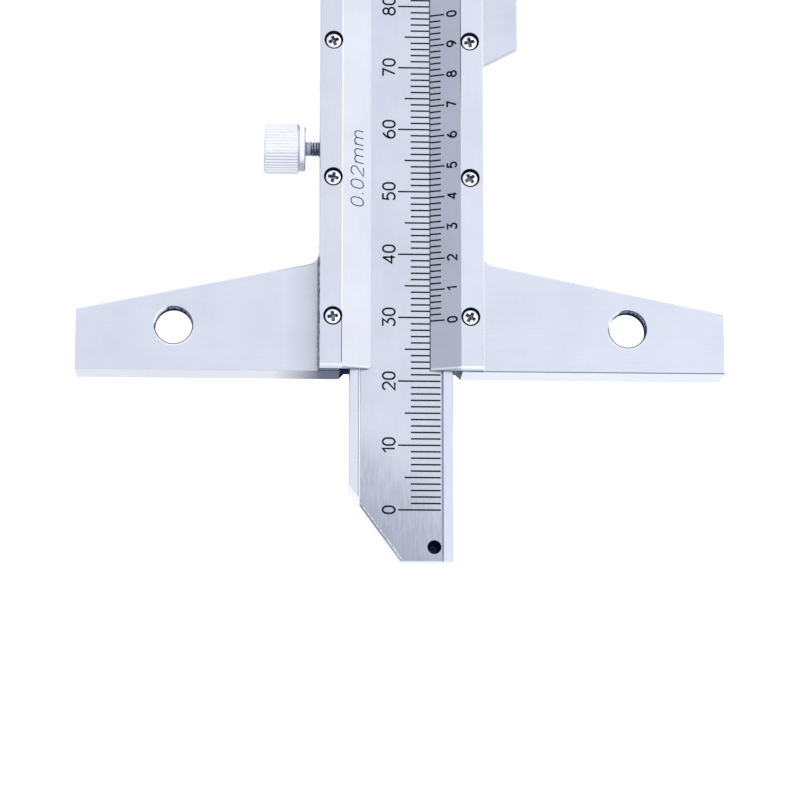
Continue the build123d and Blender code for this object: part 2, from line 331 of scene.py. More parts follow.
WHITE = (1, 1, 1, 1)
# DARK is painted shade, put in holes, recesses, the relief and gaps.
DARK = (0.014, 0.018, 0.06, 1.0)
# A painted highlight for bright edges, lines and crescents, and also the screw heads' own bright tone.
HIGHLIGHT_WHITE = grey(0.95, 0.4)
CHROME = (0.91, 0.92, 0.98, 1.0)
# Chrome with painted shade, for the knob's sides that face up and down Y and its outer end.
SHADED_CHROME = (0.83, 0.84, 0.92, 1.0)

# Sizes of the lines in ground steel along X, Y and Z, ground along X or along Y.
GRAIN_X = (4.0, 0.12, 0.12)
GRAIN_Y = (0.12, 4.0, 0.12)


def steel(name, tone, roughness, grain, grain_depth=0.1, zones=(), coats=()):
    """Ground steel: fine lines along one axis, faint streaks and clouds, zones of other tone.

    grain is the size of the lines along X, Y and Z in millimetres. Each zone is (where, colour,
    roughness change): where gets the shader and gives the share of the zone at a place; many zones
    are painted shade or painted highlights. Each coat is (where, colour) of something matt on the
    steel, such as painted shade in a corner or a painted highlight along an edge.
    """
    material, shader = new_material(name)
    lines = shader.noise(grain, detail=3.0, roughness=0.6)
    broad = shader.noise([size * STREAK_SPREAD for size in grain], detail=3.0)
    colour = tone
    smooth, rough = [roughness + change for change in LINE_ROUGHNESS]
    gloss = shader.spread(lines, smooth, rough, *WIDE_BAND)
    for where, zone_tone, change in zones:
        share = where(shader)
        colour = shader.blend(share, colour, zone_tone)
        gloss = shader.math("ADD", gloss, shader.math("MULTIPLY", share, change))
    bare = 1.0
    for where, coat_tone in coats:
        share = where(shader)
        colour = shader.blend(share, colour, coat_tone)
        bare = shader.without(bare, share)
    streaks = shader.spread(broad, 1.0, 1 - STREAK_DULLING, *NARROW_BAND)
    shine = shader.spread(lines, 1.0, 1 + LINE_SHINE, *MIDDLE_BAND)
    cloud_noise = shader.noise([CLOUD_SIZE] * 3, detail=4.0)
    clouds = shader.spread(cloud_noise, 1.0, 1 - CLOUD_DULLING, *MIDDLE_BAND)
    grain_tone = shader.math("MULTIPLY", shader.math("MULTIPLY", streaks, shine), clouds)
    shader.surface(
        {
            "Base Color": shader.scaled(colour, grain_tone),
            "Metallic": bare,
            "Roughness": gloss,
            "IOR": 1.0,
            "Normal": shader.bump(lines, grain_depth),
        }
    )
    return material


def below(axis, limit, soft=0.02):
    """A share of 1 where the place along an axis is below a limit in millimetres."""

    def share(shader):
        parts = shader.add("ShaderNodeSeparateXYZ", {"Vector": shader.place()})
        return shader.spread(parts.outputs[axis], 1, 0, (limit - soft) * MM, (limit + soft) * MM)

    return share


def between(axis, low, high, soft=0.02):
    """A share of 1 where the place along an axis lies between two limits in millimetres."""

    def share(shader):
        over = below(axis, low, soft)(shader)
        under = below(axis, high, soft)(shader)
        return shader.without(under, over)

    return share


def near_line(axes, middle, radius, soft=0.02):
    """A share of 1 within a radius of a line. axes is 0 along the line's own axis, and else 1."""

    def share(shader):
        flat = shader.add(
            "ShaderNodeVectorMath", {0: shader.place(), 1: axes}, operation="MULTIPLY"
        ).outputs[0]
        distance = shader.add(
            "ShaderNodeVectorMath", {0: flat, 1: mm(*middle)}, operation="DISTANCE"
        ).outputs["Value"]
        return shader.spread(distance, 1, 0, (radius - soft) * MM, (radius + soft) * MM)

    return share


def in_hole(x, y, radius):
    return near_line((1, 1, 0), (x, y, 0), radius)


def rising(direction, start, end):
    """A share that goes from 0 to 1 between two distances along a direction, in millimetres."""

    def share(shader):
        along = shader.add(
            "ShaderNodeVectorMath", {0: shader.place(), 1: direction}, operation="DOT_PRODUCT"
        ).outputs["Value"]
        low, high = (start, end) if start < end else (end, start)
        foot, top = (0, 1) if start < end else (1, 0)
        return shader.spread(along, foot, top, low * MM, high * MM)

    return share


def overlap(*shares):
    """A share of 1 only where each of these shares is 1."""

    def share(shader):
        whole = shares[0](shader)
        for other in shares[1:]:
            whole = shader.math("MULTIPLY", whole, other(shader))
        return whole

    return share


def on_front(parts, height):
    """Zones or coats kept to the side that faces up at a height."""
    start, full = FRONT_DEPTH
    front = rising(ALONG_Z, height - start, height - full)
    return [(overlap(where, front), *look) for where, *look in parts]


def speckled(where, sizes, amount):
    """A zone broken up by fine noise, whose features have these sizes along X, Y and Z."""

    def share(shader):
        grains = shader.spread(shader.noise(sizes), 1 - amount, 1, *CRISP_BAND)
        return shader.math("MULTIPLY", where(shader), grains)

    return share


def ink(name, level):
    """Filled engraving: nearly black, slightly uneven."""
    material, shader = new_material(name)
    grains = shader.noise((0.15, 0.15, 0.15))
    shader.surface(
        {
            "Base Color": shader.blend(grains, grey(level * 0.7, 6), grey(level * 1.4, 6)),
            "Roughness": shader.spread(grains, 0.45, 0.7),
            "Specular IOR Level": 0.1,
        }
    )
    return material


def yellow_metal(name, bright, dark, roughness):
    """Brass or bronze with a little tarnish."""
    material, shader = new_material(name)
    tarnish = shader.noise((1.5, 1.5, 1.5), detail=4.0)
    lines = shader.noise((0.08, 2.0, 0.08))
    shader.surface(
        {
            "Base Color": shader.blend(shader.spread(tarnish, 0, 1, *TARNISH_BAND), bright, dark),
            "Metallic": 1.0,
            "Roughness": shader.spread(tarnish, roughness, roughness + 0.15),
            "Normal": shader.bump(lines, 0.4),
        }
    )
    return material


# Meshes


def make_object(name, mesh, material):
    """A finished object from a bmesh in metres, smooth except over sharp edges."""
    bmesh.ops.recalc_face_normals(mesh, faces=mesh.faces)
    limit = math.radians(SMOOTH_ANGLE)
    for edge in mesh.edges:
        edge.smooth = edge.is_manifold and edge.calc_face_angle(0) < limit
    for face in mesh.faces:
        face.smooth = True
    data = bpy.data.meshes.new(name)
    mesh.to_mesh(data)
    mesh.free()
    data.materials.append(material)
    obj = bpy.data.objects.new(name, data)
    bpy.context.collection.objects.link(obj)
    return obj


def revolved(profile, sides):
    """A turned solid about Z, from (radius, height) points in millimetres."""
    mesh = bmesh.new()
    rings = []
    for radius, height in profile:
        if radius == 0:
            rings.append([mesh.verts.new(mm(0, 0, height))])
            continue
        ring = []
        for side in range(sides):
            angle = 2 * math.pi * side / sides
            ring.append(mesh.verts.new(mm(radius * math.cos(angle), radius * math.sin(angle), height)))
        rings.append(ring)
    for low, high in zip(rings, rings[1:]):
        for side in range(sides):
            after = (side + 1) % sides
            foot = [low[side % len(low)], low[after % len(low)]]
            top = [high[after % len(high)], high[side % len(high)]]
            mesh.faces.new(list(dict.fromkeys(foot + top)))
    return mesh


def skin(mesh, rings, closed=False):
    """Faces from ring to ring. The last ring is joined to the first, or both ends are capped."""
    pairs = list(zip(rings, rings[1:]))
    if closed:
        pairs.append((rings[-1], rings[0]))
    for near, far in pairs:
        for side in range(len(near)):
            after = (side + 1) % len(near)
            mesh.faces.new([near[side], near[after], far[after], far[side]])
    if not closed:
        mesh.faces.new(rings[0][::-1])
        mesh.faces.new(rings[-1])


def copies(blank, places):
    """A mesh with a copy of a blank at each place."""
    mesh = bmesh.new()
    for place in places:
        start = len(mesh.verts)
        mesh.from_mesh(blank)
        mesh.verts.ensure_lookup_table()
        bmesh.ops.transform(mesh, matrix=place, verts=mesh.verts[start:])
    return mesh


# Lettering: each character is its width and a list of pen strokes, in a cell one unit high.


def arc(x, y, across, up, start, finish, steps=14):
    """Points on an elliptical arc, its angles in degrees counted anticlockwise from the right."""
    points = []
    for step in range(steps + 1):
        angle = math.radians(start + (finish - start) * step / steps)
        points.append((x + across * math.cos(angle), y + up * math.sin(angle)))
    return points


def oblong(x, y, across, straight, round_end):
    """A closed upright oblong with round ends."""
    top = arc(x, y + straight, across, round_end, 0, 180)
    foot = arc(x, y - straight, across, round_end, 180, 360)
    return top + foot + top[:1]


def six():
    bowl = arc(0.32, 0.31, 0.32, 0.31, 180, 540, 28)
    back = arc(0.62, 0.31, 0.62, 0.69, 105, 180)
    return [back, bowl]


def turned_over(strokes, width):
    return [[(width - x, 1 - y) for x, y in stroke] for stroke in strokes]


def small_m():
    arch = arc(0.24, 0.46, 0.24, 0.24, 180, 0)
    second = [(x + 0.48, y) for x, y in arch]
    return [
        [(0.0, 0.7), (0.0, 0.0)],
        arch + [(0.48, 0.0)],
        second + [(0.96, 0.0)],
    ]


GLYPHS = {
    "0": (0.58, [oblong(0.29, 0.5, 0.29, 0.14, 0.36)]),
    "1": (0.32, [[(0.0, 0.74), (0.3, 1.0), (0.3, 0.0)]]),
    "2": (0.62, [arc(0.31, 0.7, 0.31, 0.3, 165, -35) + [(0.0, 0.0), (0.62, 0.0)]]),
    "3": (0.66, [[(0.02, 1.0), (0.62, 1.0), (0.3, 0.6)] + arc(0.32, 0.31, 0.34, 0.31, 75, -150)]),
    "4": (0.66, [[(0.5, 0.0), (0.5, 1.0)], [(0.5, 1.0), (0.0, 0.27), (0.66, 0.27)]]),
    "5": (0.62, [[(0.58, 1.0), (0.12, 1.0), (0.07, 0.56)] + arc(0.3, 0.32, 0.32, 0.32, 125, -150)]),
    "6": (0.64, six()),
    "7": (0.62, [[(0.0, 1.0), (0.62, 1.0), (0.2, 0.0)]]),
    "8": (0.64, [arc(0.32, 0.76, 0.26, 0.24, 0, 360, 24), arc(0.32, 0.27, 0.32, 0.27, 0, 360, 24)]),
    "9": (0.64, turned_over(six(), 0.64)),
    ".": (0.06, [[(0.03, 0.0), (0.03, 0.1)]]),
    "m": (0.96, small_m()),
}
LETTER_GAP = 0.27


def text_width(text):
    return sum(GLYPHS[letter][0] for letter in text) + LETTER_GAP * (len(text) - 1)


def written(text, height, start, foot, slant=0.0, gap=LETTER_GAP, stretch=1.0):
    """Strokes of a text that reads up the gauge: start is along Y, and foot is its foot line's X."""
    strokes = []
    pen = 0.0
    for letter in text:
        width, shapes = GLYPHS[letter]
        for shape in shapes:
            strokes.append(
                [
                    (foot - y * height, start + (pen + x * stretch + y * slant) * height)
                    for x, y in shape
                ]
            )
        pen += width * stretch + gap
    return strokes


def centred(text, height, middle, foot):
    return written(text, height, middle - text_width(text) * height / 2, foot)


def flat_face(height):
    """A face square to Z: the place of (x, y) on it, lifted by a distance."""
    return lambda x, y, lift: mm(x, y, height + lift)


def sloped_face(x_low, z_low, x_high, z_high):
    """A bevel along Y through two edges: the place of (x, y) on it, lifted square to the bevel."""
    run, rise = x_high - x_low, z_high - z_low
    length = math.hypot(run, rise)
    across = math.copysign(1, run)

    def place(x, y, lift):
        z = z_low + (x - x_low) * rise / run
        return mm(x - across * rise / length * lift, y, z + abs(run) / length * lift)

    return place


def mitre(before, here, after, half):
    """From a point of a stroke to the line's edge on its left."""
    steps = [here - before, after - here]
    directions = [step.normalized() for step in steps if step.length > SAME_PLACE]
    along = sum(directions, Vector((0, 0))).normalized()
    reach = half / max(along.dot(directions[0]), MITRE_LIMIT)
    return Vector((-along.y, along.x)) * reach


def add_line(mesh, stroke, width, face):
    """One inked line along a stroke, let into a face and standing just proud of it."""
    closed = math.dist(stroke[0], stroke[-1]) < SAME_PLACE
    points = [Vector(point) for point in (stroke[:-1] if closed else stroke)]
    count = len(points)
    rings = []
    for index, point in enumerate(points):
        before = points[index - 1] if closed or index else point
        after = points[(index + 1) % count] if closed or index < count - 1 else point
        side = mitre(before, point, after, width / 2)
        left, right = point + side, point - side
        places = [(left, INK_PROUD), (right, INK_PROUD), (right, -INK_SUNK), (left, -INK_SUNK)]
        rings.append([mesh.verts.new(face(edge.x, edge.y, lift)) for edge, lift in places])
    skin(mesh, rings, closed)


def inked(name, strokes, width, face, body, material):
    """A set of inked lines that rides on a body."""
    mesh = bmesh.new()
    for stroke in strokes:
        add_line(mesh, stroke, width, face)
    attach(make_object(name, mesh, material), body)


def main_scale(material):
    """The beam's millimetre lines and the numbers at each ten."""
    low, high = box_mm("beam")
    face = flat_face(high.z - STRIP_RAISE)
    zero = low.y + MAIN_ZERO_FROM_TIP
    lines, numbers = [], []
    for value in range(MAIN_LINES + 1):
        y = zero + value
        start = MAIN_SHORT_START
        if value % 5 == 0:
            start = MAIN_MIDDLE_START
        if value % 10 == 0:
            start = MAIN_LONG_START
            numbers += centred(str(value), MAIN_NUMBER_HEIGHT, y, MAIN_NUMBER_FOOT)
        lines.append([(start, y), (MAIN_RIGHT_END, y)])
    inked("main_scale_lines", lines, LINE_WIDTH, face, "beam", material)
    inked("main_scale_numbers", numbers, NUMBER_STROKE, face, "beam", material)


def vernier_scale(material):
    """The vernier's fifty divisions, numbered at every fifth."""
    low, high = box_mm("vernier_plate")
    face = sloped_face(low.x, low.z + VERNIER_EDGE_THICKNESS, high.x - PLATE_FLAT_WIDTH, high.z)
    zero = box_mm("slider_body")[0].y + VERNIER_ZERO_FROM_FACE
    lines, numbers = [], []
    for division in range(VERNIER_LINES + 1):
        y = zero + division * VERNIER_DIVISION
        end = VERNIER_SHORT_END
        if division % 5 == 0:
            end = VERNIER_LONG_END
            digit = str(division // 5 % 10)
            numbers += centred(digit, VERNIER_NUMBER_HEIGHT, y, VERNIER_NUMBER_FOOT)
        lines.append([(low.x, y), (end, y)])
    inked("vernier_scale_lines", lines, LINE_WIDTH, face, "slider", material)
    inked("vernier_scale_numbers", numbers, VERNIER_STROKE, face, "slider", material)


def graduation_value(material):
    """The value of one vernier division, on the left plate's bevel."""
    low, high = box_mm("left_cover_plate")
    face = sloped_face(high.x, low.z + LEFT_EDGE_THICKNESS, low.x + PLATE_FLAT_WIDTH, high.z)
    strokes = written(
        VALUE_TEXT, VALUE_HEIGHT, VALUE_START, VALUE_FOOT, VALUE_SLANT, VALUE_GAP, VALUE_STRETCH
    )
    inked("graduation_value", strokes, VALUE_STROKE, face, "slider", material)


# Screws and stud


def screw_places(node):
    """The places of the screws in a row along Y, from the box of their node."""
    low, high = box_mm(node)
    radius = (high.x - low.x) / 2
    first, last = low.y + radius, high.y - radius
    gap = (last - first) / (SCREWS_PER_PLATE - 1)
    return [(low.x + radius, first + gap * step) for step in range(SCREWS_PER_PLATE)]


def wedge(sections, material):
    """A cutter between two oblongs, each given by its height and its half sizes in X and Y."""
    mesh = bmesh.new()
    rings = []
    for height, x, y in sections:
        corners = [(x, y), (-x, y), (-x, -y), (x, -y)]
        rings.append([mesh.verts.new(mm(*corner, height)) for corner in corners])
    skin(mesh, rings)
    return make_object("cutter", mesh, material)


def cut_away(blank, cutters):
    """The mesh of a blank with the cutters taken out of it. The blank and cutters are removed."""
    for cutter in cutters:
        modifier = blank.modifiers.new("cut", "BOOLEAN")
        modifier.operation = "DIFFERENCE"
        modifier.solver = "EXACT"
        modifier.object = cutter
    depsgraph = bpy.context.evaluated_depsgraph_get()
    data = bpy.data.meshes.new_from_object(blank.evaluated_get(depsgraph))
    for spent in (blank, *cutters):
        bpy.data.objects.remove(spent)
    return data


def plate_screw_mesh(length, material):
    """A small cheese-head screw with a crowned top and a cross recess, its crown at the origin."""
    profile = [
        (0, -length),
        (SHANK_RADIUS, -length),
        (SHANK_RADIUS, -HEAD_HEIGHT),
        (HEAD_RADIUS, -HEAD_HEIGHT),
        (HEAD_RADIUS, -HEAD_CROWN - HEAD_EDGE),
        (HEAD_RIM_RADIUS, -HEAD_CROWN),
    ]
    for step in range(1, CROWN_STEPS):
        out = 1 - step / CROWN_STEPS
        profile.append((HEAD_RIM_RADIUS * out, -HEAD_CROWN * out**2))
    profile.append((0, 0))
    blank = make_object("screw_blank", revolved(profile, SCREW_SIDES), material)
    lengthwise = [
        (CUTTER_CLEAR, RECESS_REACH, RECESS_HALF_WIDTH),
        (-RECESS_DEPTH, RECESS_FLOOR_REACH, RECESS_FLOOR_HALF_WIDTH),
    ]
    crosswise = [(height, half, reach) for height, reach, half in lengthwise]
    return cut_away(blank, [wedge(lengthwise, material), wedge(crosswise, material)])


def plate_screws(node, name, turns, material):
    """The three screws of one plate, each stopped at its own angle."""
    low, high = box_mm(node)
    places = []
    for (x, y), turn in zip(screw_places(node), turns):
        places.append(Matrix.Translation(mm(x, y, high.z)) @ Matrix.Rotation(math.radians(turn), 4, "Z"))
    screws = copies(plate_screw_mesh(high.z - low.z, material), places)
    obj = make_object(name, screws, material)
    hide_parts(node)
    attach(obj, "slider")


def lock_stud(material):
    """The lock stud with its thread, and a smooth neck next to the knob."""
    low, high = box_mm("lock_stud")
    middle = (low + high) / 2
    crest = (high.y - low.y) / 2
    neck_start = low.x + STUD_IN_KNOB
    thread_start = neck_start + NECK_LENGTH
    step = THREAD_PITCH / THREAD_STEPS
    count = int((high.x - thread_start) / step)
    places = [low.x, neck_start, thread_start - step] + [high.x - step * n for n in range(count, -1, -1)]

    def radius(x, turn):
        """The stud's radius at a place along it and a share of a turn round it."""
        if x < thread_start:
            return NECK_RADIUS
        phase = (x / THREAD_PITCH - turn) % 1.0
        thread = crest - THREAD_DEPTH + THREAD_DEPTH * abs(2 * phase - 1)
        return min(thread, crest - STUD_POINT + high.x - x)

    mesh = bmesh.new()
    rings = []
    for x in places:
        ring = []
        for side in range(THREAD_SIDES):
            turn = side / THREAD_SIDES
            y = middle.y + radius(x, turn) * math.cos(2 * math.pi * turn)
            z = middle.z + radius(x, turn) * math.sin(2 * math.pi * turn)
            ring.append(mesh.verts.new(mm(x, y, z)))
        rings.append(ring)
    skin(mesh, rings)
    obj = make_object("lock_stud_threaded", mesh, material)
    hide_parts("lock_stud")
    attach(obj, "lock")


def gib_screws(material):
    """The two headless gib screws, each with a driver slot in its outer end."""
    low, high = box_mm("gib_screws")
    radius = (high.z - low.z) / 2
    length = high.x - low.x
    profile = [
        (0, 0),
        (radius - GIB_SCREW_CHAMFER, 0),
        (radius, GIB_SCREW_CHAMFER),
        (radius, length - GIB_SCREW_POINT),
        (radius - GIB_SCREW_POINT, length),
        (0, length),
    ]
    blank = make_object("gib_screw_blank", revolved(profile, GIB_SCREW_SIDES), material)
    reach, half = radius * SLOT_REACH, SLOT_WIDTH / 2
    slot = wedge([(-CUTTER_CLEAR, reach, half), (SLOT_DEPTH, reach, half)], material)
    places = []
    for y, turn in zip((low.y + radius, high.y - radius), GIB_SCREW_TURNS):
        lay_down = Matrix.Rotation(math.pi / 2, 4, "Y") @ Matrix.Rotation(math.radians(turn), 4, "Z")
        places.append(Matrix.Translation(mm(low.x, y, (low.z + high.z) / 2)) @ lay_down)
    screws = copies(cut_away(blank, [slot]), places)
    obj = make_object("gib_screws_slotted", screws, material)
    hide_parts("gib_screws")
    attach(obj, "slider")


# Studio


def look_at(place, target):
    """A rotation that points -Z from a place at a target, with Y up the gauge."""
    back = (Vector(place) - Vector(target)).normalized()
    right = Vector((0, 1, 0)).cross(back).normalized()
    up = back.cross(right)
    return Matrix((right, up, back)).transposed().to_euler()


def camera():
    data = bpy.data.cameras.new("camera")
    data.sensor_width = SENSOR_WIDTH
    data.lens = CAMERA_LENS
    data.clip_start = CAMERA_CLIP * MM
    obj = bpy.data.objects.new("camera", data)
    obj.location = mm(*CAMERA_PLACE)
    obj.rotation_euler = look_at(CAMERA_PLACE, CAMERA_TARGET)
    bpy.context.collection.objects.link(obj)
    bpy.context.scene.camera = obj


def room_light():
    """A plain soft studio, brighter on the right than on the left, and shaded low at both sides."""
    world = bpy.data.worlds.new("studio")
    world.use_nodes = True
    bpy.context.scene.world = world
    shader = Shader(world.node_tree)
    direction = shader.add("ShaderNodeTexCoord").outputs["Generated"]
    parts = shader.add("ShaderNodeSeparateXYZ", {"Vector": direction}).outputs
    x, z = parts["X"], parts["Z"]
    left_half = shader.spread(x, ROOM_LEFT, ROOM_TOP, ROOM_LEFT_END, 0.0)
    right_half = shader.spread(x, 0.0, ROOM_RIGHT - ROOM_TOP, 0.0, ROOM_RIGHT_END)
    upper = shader.math("ADD", left_half, right_half)
    foot = shader.spread(z, 1.0, 0.0, *ROOM_FOOT_HEIGHTS)
    foot_tone = shader.spread(x, ROOM_FOOT_LEFT, ROOM_FOOT_RIGHT, *ROOM_FOOT_ENDS)
    foot_light = shader.math("MULTIPLY", foot, foot_tone)
    strength = shader.math("ADD", shader.without(upper, foot), foot_light)
    beside = shader.spread(shader.math("ABSOLUTE", x), 0.0, SIDE_SHADE, *SIDE_SHADE_OUT)
    below_head = shader.spread(z, 1.0, 0.0, *SIDE_SHADE_HEAD)
    above_foot = shader.spread(z, 0.0, 1.0, *SIDE_SHADE_FOOT)
    shade = shader.math("MULTIPLY", shader.math("MULTIPLY", beside, below_head), above_foot)
    light = {"Color": WHITE, "Strength": shader.without(strength, shade)}
    shader.surface(light, "ShaderNodeBackground", "ShaderNodeOutputWorld")


def table():
    """A milk glass table, lit from below, so that the gauge hardly throws a shadow."""
    mesh = bmesh.new()
    half = TABLE_SIZE / 2
    corners = [(-half, -half), (half, -half), (half, half), (-half, half)]
    mesh.faces.new([mesh.verts.new(mm(x, y, -TABLE_DROP)) for x, y in corners])
    material, shader = new_material("milk_glass_table")
    shader.surface(
        {
            "Base Color": (TABLE_TONE, TABLE_TONE, TABLE_TONE, 1),
            "Roughness": TABLE_ROUGHNESS,
            "Specular IOR Level": 0.0,
            "Emission Color": WHITE,
            "Emission Strength": TABLE_GLOW,
        }
    )
    make_object("table", mesh, material)


def view_settings():
    settings = bpy.context.scene.view_settings
    settings.view_transform = "Standard"
    settings.look = "None"


# Finishes of the pieces


def base_hole_coats(x, front):
    """Painted shade on the drilled wall, darker further down and over its lower half, painted shade on
    the edge, and two painted highlights as bright crescents.
    """
    wall, edge, crescent, rim = [in_hole(x, 0, BASE_HOLE_RADIUS + out) for out in HOLE_RINGS]
    middle = x * CRESCENT_WAY[0]
    top_left = rising(CRESCENT_WAY, *[middle + reach for reach in CRESCENT_REACH])
    deep = rising(ALONG_Z, *[front - depth for depth in WALL_DARKENS])
    lower_half = below("Y", 0, soft=1.0)
    lowest_part = below("Y", -1.2, soft=0.6)
    # The rim and the crescent are painted highlights; the edge and the wall are painted shade.
    return [
        (overlap(rim, lowest_part), HIGHLIGHT_WHITE),
        (edge, grey(0.12, 3)),
        (wall, grey(0.48, 2)),
        (speckled(wall, (0.4, 0.4, 2.0), 1.0), grey(0.06, 3)),
        (overlap(crescent, top_left), HIGHLIGHT_WHITE),
        (overlap(wall, deep), DARK),
        (overlap(wall, lower_half), DARK),
    ]


def measuring_face_coats(low, high, relief_side, edge_break, under_plate):
    """A painted shadow on the left face, the dark line where the faces end in front, a painted highlight
    beside it, and painted shade in the relief.
    """
    left = below("X", 0)
    shadowed_face = overlap(below("Y", low.y + FACE_SKIN), left, rising(ALONG_X, *LEFT_FACE_SHADOW))
    line = between("Y", low.y + 0.06, low.y + 0.2)
    under_right_arm = rising(ALONG_X, relief_side - 6, high.x - 10)
    right_of_relief = rising(ALONG_X, relief_side, relief_side + 3)
    bright_line = overlap(between("Y", low.y + 0.12, low.y + 0.3), below("X", -relief_side))
    relief_height = between("Y", low.y + FACE_SKIN, low.y + RELIEF_HEIGHT)
    relief = overlap(between("X", -relief_side, relief_side), relief_height)
    return [
        # Painted shadow on the left face, growing towards the relief.
        (shadowed_face, grey(0.17, 2)),
        (overlap(line, under_right_arm), grey(0.04, 3)),
        (overlap(line, right_of_relief), grey(0.2, 3)),
        # Painted highlight along the left faces' front edge.
        (overlap(bright_line, edge_break), grey(0.88, 0.6)),
        # Painted shade in the line under the left plate.
        (overlap(line, under_plate, left), DARK),
        # Painted shade in the relief, darkest on its left.
        (relief, grey(0.17, 2)),
        (overlap(relief, left), DARK),
    ]


def body_finish():
    """Satin ground faces, lapped measuring faces, painted highlights on the edge breaks, and painted
    shade in the relief, in the corner beside the left plate and under it.
    """
    low, high = box_mm("slider_body")
    plate_low = box_mm("left_cover_plate")[0]
    plate_side, front = plate_low.x, plate_low.z
    column_side = box_mm("vernier_plate")[1].x
    relief_side = box_mm("beam")[1].x + RELIEF_BESIDE_BEAM
    arms = below("Y", low.y + ARM_HEIGHT)
    corner = overlap(arms, below("X", plate_side))
    shade_line = overlap(arms, between("X", plate_side - 0.22, plate_side + 0.1, soft=0.1))
    lapped = below("Y", low.y + FACE_SKIN)
    edge_break = between("Z", front - BASE_EDGE_BREAK, front - 0.01, soft=0.01)
    under_plate = overlap(between("X", plate_side, -relief_side), below("Y", low.y + 0.6))
    right_of_column = rising(ALONG_X, column_side, column_side + 0.05)
    thumb_rest = overlap(right_of_column, rising(ALONG_Y, *THUMB_REST))
    shade_start, deeper_shade_start = plate_side - CORNER_OUTSIDE, plate_side - CORNER_INSIDE
    # Painted shade in the corner beside the left plate, deeper next to it.
    shaded_corner = [
        (overlap(corner, rising(ALONG_X, shade_start, deeper_shade_start)), grey(0.62), 0),
        (overlap(corner, rising(ALONG_X, deeper_shade_start, plate_side)), grey(0.53), 0.05),
    ]
    zones = [
        # Edge breaks: a painted highlight, darker at the left end.
        (edge_break, grey(0.85, 0.7), 0),
        (overlap(edge_break, below("X", low.x + 0.15)), grey(0.4), 0),
        (thumb_rest, grey(0.66), 0),
        # The thumb rest's lower slope: a painted highlight.
        (overlap(thumb_rest, below("Z", front - 0.2)), grey(0.97, 0.3), 0),
        (lapped, grey(0.66), -0.16),
        # The left measuring face: darker, as painted shade.
        (overlap(lapped, below("X", 0)), grey(0.56), 0),
        *on_front(shaded_corner, front),
        # Painted shade on the measuring face under the left plate.
        (under_plate, grey(0.36), 0),
    ]
    coats = measuring_face_coats(low, high, relief_side, edge_break, under_plate)
    # Painted contact shadow, speckled, along the line where the left plate meets the arm.
    coats += on_front([(speckled(shade_line, (0.12, 0.12, 0.12), 0.8), grey(0.1, 2))], front)
    for x in (-BASE_HOLE_X, BASE_HOLE_X):
        coats += base_hole_coats(x, front)
    return steel("base_steel", grey(0.705), 0.28, GRAIN_X, 0.025, zones, coats)


def tip_shares(tip):
    """The bevel along the tip's slant, its outer half, and the line where the halves meet."""
    across, up = TIP_SLANT
    length = math.hypot(across, up)
    outward = (-up / length, -across / length, 0)
    edge = outward[1] * tip
    inside = edge - TIP_BEVEL
    middle = edge - TIP_BEVEL / 2
    bevel = rising(outward, inside - FACE_SKIN, inside + FACE_SKIN)
    outer = rising(outward, middle - FACE_SKIN, middle + FACE_SKIN)
    line_start = rising(outward, middle - 0.12, middle - 0.06)
    line_end = rising(outward, middle + 0.08, middle + 0.02)
    return bevel, outer, overlap(line_start, line_end)


def beam_finish():
    """Polished side strips, a satin scale face with painted shade towards the tip, painted highlights
    and shade along the strips and the tip's bevel, and painted shade in the drilled hole.
    """
    low, high = box_mm("beam")
    pin_low, pin_high = box_mm("beam_stop_pin")
    hole_x, hole_y = (pin_low.x + pin_high.x) / 2, low.y + TIP_HOLE_FROM_TIP
    hole_radius = (pin_high.x - pin_low.x) / 2
    strip_edge = high.x - STRIP_WIDTH
    scale_half = strip_edge - STRIP_RAISE
    shade_start = low.y * TIP_SHADE_WAY[1]
    towards_tip = rising(TIP_SHADE_WAY, shade_start + TIP_SHADE_LENGTH, shade_start)
    scale = between("X", -scale_half, scale_half)
    shaded_scale = overlap(scale, towards_tip)
    right_slope = between("X", scale_half, strip_edge)
    step_shade = between("X", -strip_edge - 0.12, -strip_edge)
    bright_edge = between("X", -strip_edge, -strip_edge + 0.16)
    on_left_strip = below("X", -strip_edge + 0.1)
    bevel, outer, line = tip_shares(low.y)
    line = overlap(line, rising(ALONG_X, -strip_edge, -strip_edge + 0.2))
    lowest_part = rising(ALONG_Y, low.y + 6, low.y)
    zones = [
        (scale, grey(0.665), 0.06),
        # Painted shade on the scale towards the tip.
        (shaded_scale, grey(0.43, 1.4), 0.04),
        (speckled(shaded_scale, (0.4, 3.0, 0.4), 0.8), grey(0.405, 1.4), 0),
        # Painted shade on the right strip's slope.
        (right_slope, grey(0.45, 1.5), 0),
        # Painted shade on the tip's slant bevel, lighter low down.
        (bevel, grey(0.42), 0),
        (outer, grey(0.34), 0),
        (overlap(outer, lowest_part), grey(0.5), 0),
    ]
    coats = [
        # Painted shade at the left strip's step, and painted highlights on its edge, along the slant and
        # on the bevel across the left strip.
        (step_shade, grey(0.3, 1.5)),
        (bright_edge, HIGHLIGHT_WHITE),
        (speckled(line, (0.4, 0.4, 0.4), 0.9), HIGHLIGHT_WHITE),
        (overlap(bevel, on_left_strip), HIGHLIGHT_WHITE),
    ]
    end_face = [(below("Y", low.y + 0.15), grey(0.75, 0.6), 0)]
    hole_floor = in_hole(hole_x - 0.1, hole_y - 0.1, hole_radius * 0.6)
    # Painted shade in the drilled hole, lighter on its floor.
    hole = [
        (in_hole(hole_x, hole_y, hole_radius + 0.02), DARK),
        (speckled(hole_floor, (0.3, 0.3, 0.3), 0.6), grey(0.1, 3)),
    ]
    zones = on_front(zones, high.z) + end_face
    coats = on_front(coats, high.z) + hole
    return steel("beam_steel", grey(0.73), 0.22, GRAIN_Y, 0.1, zones, coats)


